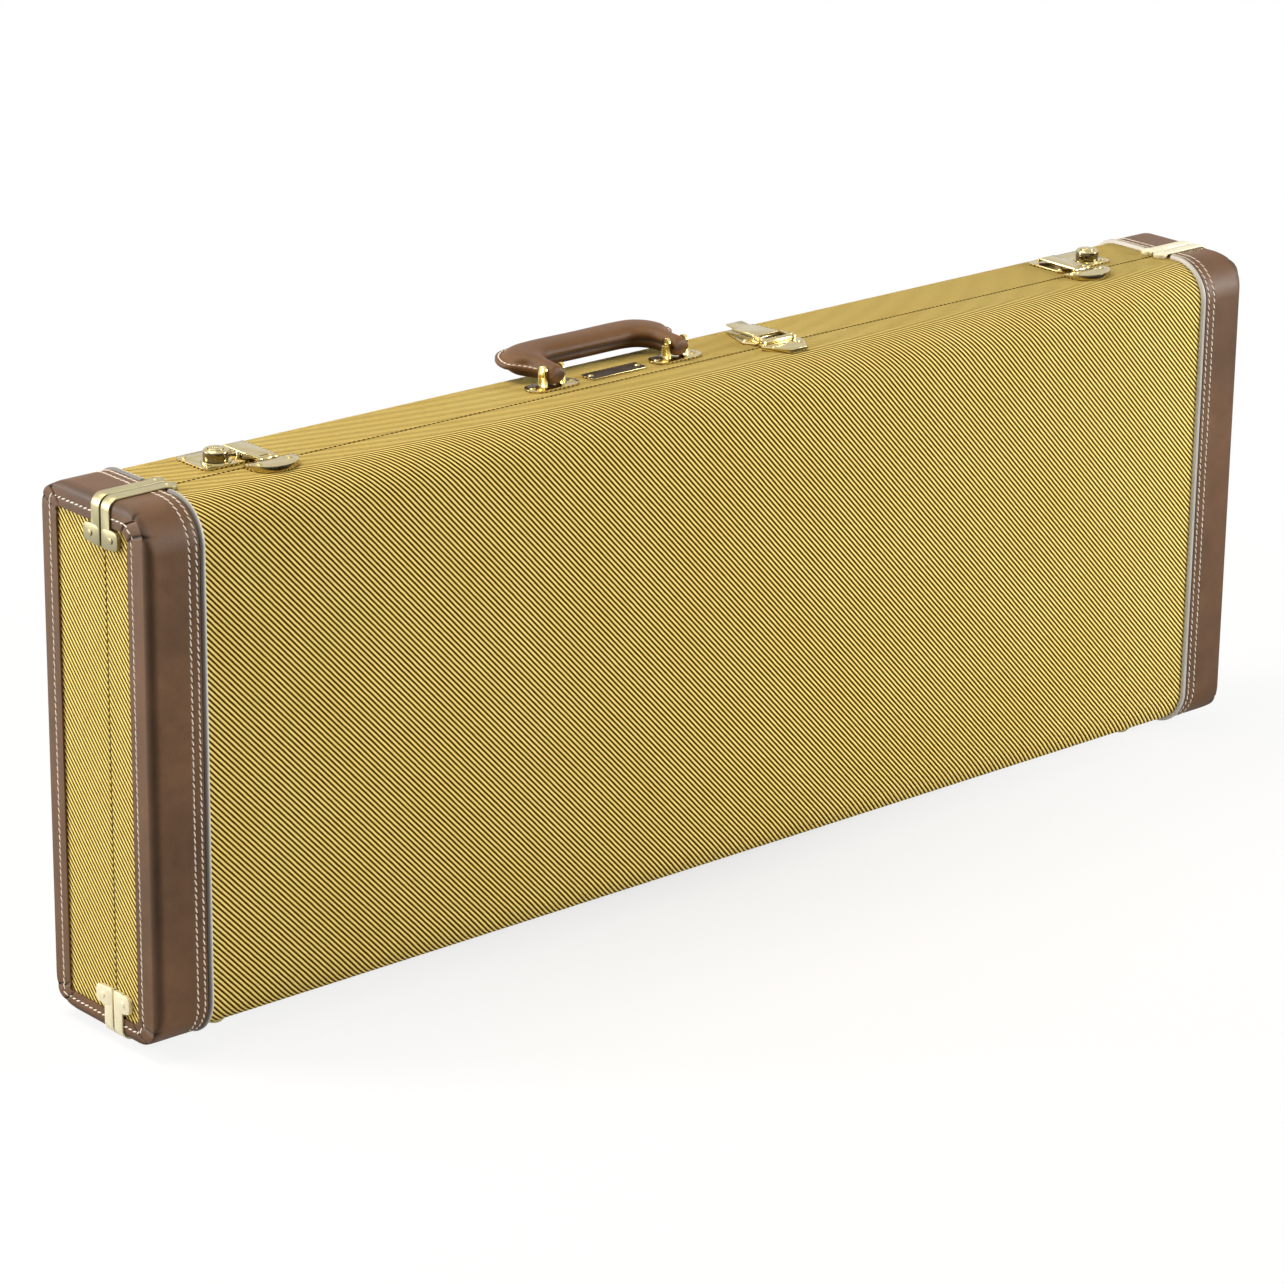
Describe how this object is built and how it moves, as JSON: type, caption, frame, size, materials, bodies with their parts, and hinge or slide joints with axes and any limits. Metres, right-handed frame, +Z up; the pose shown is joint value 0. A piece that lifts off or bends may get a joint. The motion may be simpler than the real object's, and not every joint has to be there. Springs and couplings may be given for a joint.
{
  "type": "electric guitar case",
  "caption": "Rectangular hard case for an electric guitar: hinged lid, side latches with sliding catches, tension latch, swinging leather handle and padded cradle.",
  "frame": {"origin": "on the ground under the middle of the closed case, which stands on its four feet on its hinge side", "axes": "+X along the case towards the headstock end, +Y from the lid to the back of the body, +Z up through the handle side"},
  "size_m": [1.0348, 0.1254, 0.4021],
  "materials": {
    "tweed_covered_ply": "diagonal woven tweed cloth glued over plywood, matt",
    "leather": "brown grained leather with pale stitching, semi-matt",
    "piping": "ivory cord piping, smooth",
    "brass_hardware": "polished pale brass plate",
    "gold_metal": "polished gold plate",
    "dark_badge_metal": "dark lacquered plate, bare",
    "plush_lining": "short plush pile over foam",
    "lined_board": "board lined with short plush"
  },
  "bodies": {
    "case_body": {"body_shell": "tweed_covered_ply", "body_end_board_left": "tweed_covered_ply", "body_end_board_right": "tweed_covered_ply", "body_leather_left": "leather", "body_leather_right": "leather", "body_piping_left": "piping", "body_piping_right": "piping", "body_bracket_top_left": "brass_hardware", "body_bracket_top_right": "brass_hardware", "body_bracket_bottom_left": "brass_hardware", "body_bracket_bottom_right": "brass_hardware", "handle_plate_left": "gold_metal", "handle_plate_right": "gold_metal", "badge_plate": "dark_badge_metal", "latch_base_left": "brass_hardware", "latch_base_right": "brass_hardware", "centre_latch_base": "brass_hardware", "hinge_left_body_leaf": "brass_hardware", "hinge_middle_body_leaf": "brass_hardware", "hinge_right_body_leaf": "brass_hardware", "body_foot_left": "brass_hardware", "body_foot_right": "brass_hardware", "floor_pad": "plush_lining", "cradle_upper": "plush_lining", "cradle_lower": "plush_lining", "neck_rest": "plush_lining", "pocket_box": "lined_board", "pocket_lid": "lined_board"},
    "lid": {"lid_shell": "tweed_covered_ply", "lid_end_board_left": "tweed_covered_ply", "lid_end_board_right": "tweed_covered_ply", "lid_leather_left": "leather", "lid_leather_right": "leather", "lid_piping_left": "piping", "lid_piping_right": "piping", "lid_bracket_top_left": "brass_hardware", "lid_bracket_top_right": "brass_hardware", "lid_bracket_bottom_left": "brass_hardware", "lid_bracket_bottom_right": "brass_hardware", "latch_lid_plate_left": "brass_hardware", "latch_lid_plate_right": "brass_hardware", "latch_pin_left": "gold_metal", "latch_pin_right": "gold_metal", "centre_latch_lid_plate": "brass_hardware", "centre_latch_pin": "gold_metal", "hinge_left_lid_leaf": "brass_hardware", "hinge_middle_lid_leaf": "brass_hardware", "hinge_right_lid_leaf": "brass_hardware", "lid_foot_left": "brass_hardware", "lid_foot_right": "brass_hardware", "lid_pad": "plush_lining"},
    "handle": {"handle_grip": "leather"},
    "hasp_left": {"latch_hasp_left": "brass_hardware"},
    "knob_left": {"latch_knob_left": "brass_hardware"},
    "key_left": {"key_cylinder_left": "gold_metal"},
    "hasp_right": {"latch_hasp_right": "brass_hardware"},
    "knob_right": {"latch_knob_right": "brass_hardware"},
    "key_right": {"key_cylinder_right": "gold_metal"},
    "centre_link": {"centre_latch_link": "brass_hardware"},
    "centre_lever": {"centre_latch_lever": "brass_hardware"}
  },
  "joints": [
    {"name": "lid_hinge", "type": "hinge", "parent": "case_body", "child": "lid", "pos_m": [0, -0.01145, 0.0047], "axis": [1, 0, 0], "range_deg": [0, 105]},
    {"name": "handle_swing", "type": "hinge", "parent": "case_body", "child": "handle", "pos_m": [-0.0665, 0.00555, 0.391], "axis": [1, 0, 0], "range_deg": [0, 170]},
    {"name": "hasp_left_swing", "type": "hinge", "parent": "lid", "child": "hasp_left", "pos_m": [-0.3845, -0.01265, 0.3844], "axis": [1, 0, 0], "range_deg": [0, 135]},
    {"name": "knob_left_slide", "type": "slide", "parent": "case_body", "child": "knob_left", "axis": [-1, 0, 0], "range_m": [0, 0.0035], "stiffness_N_per_m": 300},
    {"name": "key_left_turn", "type": "hinge", "parent": "knob_left", "child": "key_left", "pos_m": [-0.411, 0.00655, 0.389], "axis": [0, 0, -1], "range_deg": [0, 90]},
    {"name": "hasp_right_swing", "type": "hinge", "parent": "lid", "child": "hasp_right", "pos_m": [0.3845, -0.01265, 0.3844], "axis": [1, 0, 0], "range_deg": [0, 135]},
    {"name": "knob_right_slide", "type": "slide", "parent": "case_body", "child": "knob_right", "axis": [1, 0, 0], "range_m": [0, 0.0035], "stiffness_N_per_m": 300},
    {"name": "key_right_turn", "type": "hinge", "parent": "knob_right", "child": "key_right", "pos_m": [0.411, 0.00655, 0.389], "axis": [0, 0, 1], "range_deg": [0, 90]},
    {"name": "centre_link_swing", "type": "hinge", "parent": "lid", "child": "centre_link", "pos_m": [0.0715, -0.01365, 0.3847], "axis": [1, 0, 0], "range_deg": [0, 110]},
    {"name": "centre_lever_swing", "type": "hinge", "parent": "centre_link", "child": "centre_lever", "pos_m": [0.0715, -0.00245, 0.3849], "axis": [1, 0, 0], "range_deg": [0, 70]}
  ]
}
